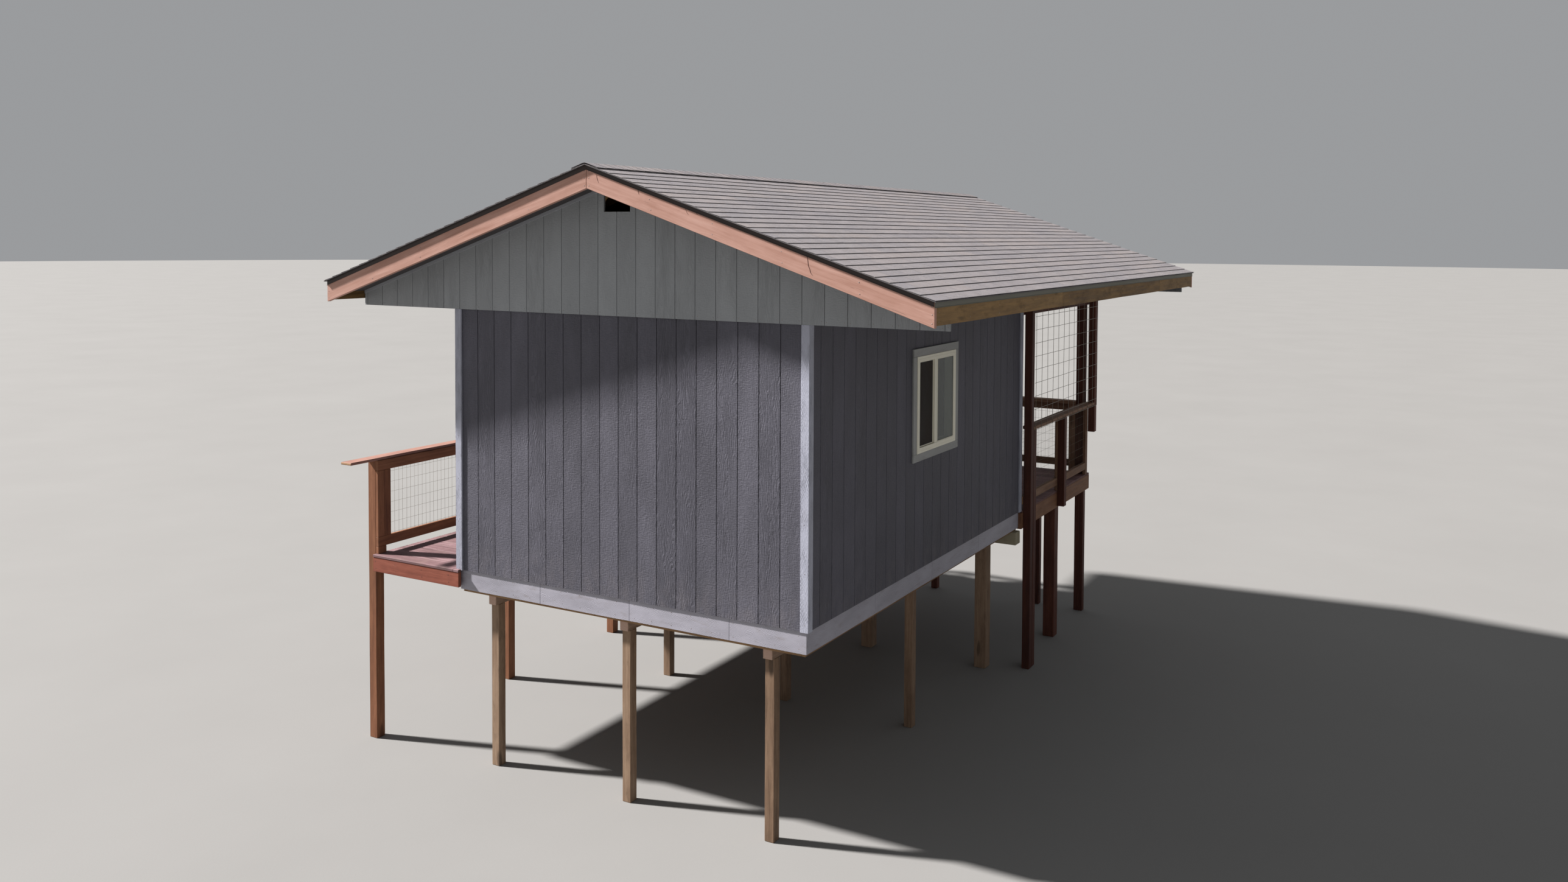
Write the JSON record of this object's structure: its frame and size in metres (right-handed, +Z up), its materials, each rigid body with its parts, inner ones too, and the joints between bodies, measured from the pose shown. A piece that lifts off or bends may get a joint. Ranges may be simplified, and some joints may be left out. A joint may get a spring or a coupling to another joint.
{
  "type": "boathouse cabin",
  "caption": "Small gabled lakeside boathouse cabin on posts, with a wide-eaved shingle roof that covers a screened porch, and a railed side deck.",
  "frame": {"origin": "under the middle of the roof, at the level of the feet of the posts", "axes": "+X to the right along the front wall, +Y back towards the lake along the ridge, +Z up"},
  "size_m": [6.312, 8.363, 5.568],
  "materials": {
    "treated_timber": "rough sawn, weathered",
    "trim_paint": "painted light grey boards, matt",
    "floor_panel": "plywood",
    "dark_siding": "grooved wood siding panel, charcoal paint, embossed grain",
    "vinyl": "satin",
    "window_glass": "clear",
    "door_paint": "charcoal paint, satin",
    "door_metal": "satin",
    "framing_wood": "sawn softwood",
    "sheathing_wood": "plywood",
    "shingle": "asphalt shingles with mineral grit",
    "drip_metal": "folded sheet, matt grey",
    "cedar": "weathered brown stain",
    "rake_wood": "pink-brown stain, matt",
    "soffit_paint": "charcoal paint, matt",
    "gable_siding": "grooved wood siding panel, mid grey paint, embossed grain",
    "gable_trim_paint": "grey paint, matt",
    "porch_stain": "dark red-brown stain",
    "deck_frame_stain": "red-brown stain",
    "decking": "dusty red-brown stain, worn",
    "rail_stain": "brown stain",
    "side_post_stain": "orange-brown stain",
    "wire": "galvanised wire, dulled"
  },
  "bodies": {
    "root": {"skids": "treated_timber", "rear_girder": "trim_paint", "house_piers": "treated_timber", "floor_joists": "treated_timber", "floor_deck": "floor_panel", "front_wall": "dark_siding", "right_wall": "dark_siding", "left_wall": "dark_siding", "back_wall": "dark_siding", "house_ceiling": "floor_panel", "corner_trims": "trim_paint", "skirt_boards": "trim_paint", "window_casings": "trim_paint", "window_frames": "vinyl", "window_sashes": "vinyl", "window_glass": "window_glass", "door_frame": "trim_paint", "door_leaf": "door_paint", "door_knob": "door_metal", "roof_trusses": "framing_wood", "sheathing_left": "sheathing_wood", "sheathing_right": "sheathing_wood", "shingles_left": "shingle", "shingles_right": "shingle", "ridge_cap": "shingle", "drip_edges": "drip_metal", "eave_fascias": "cedar", "rake_boards_front": "rake_wood", "rake_boards_back": "rake_wood", "rake_soffits": "soffit_paint", "eave_soffits": "soffit_paint", "porch_ceiling": "sheathing_wood", "gable_front": "gable_siding", "gable_back": "gable_siding", "gable_trims": "gable_trim_paint", "porch_posts": "porch_stain", "porch_beams": "porch_stain", "porch_frame": "deck_frame_stain", "porch_decking": "decking", "porch_rails": "rail_stain", "porch_screen": "wire", "porch_rail_mesh": "wire", "side_deck_frame": "deck_frame_stain", "side_decking": "decking", "side_deck_posts": "side_post_stain", "side_rails": "side_post_stain", "side_rail_mesh": "wire"}
  },
  "joints": []
}
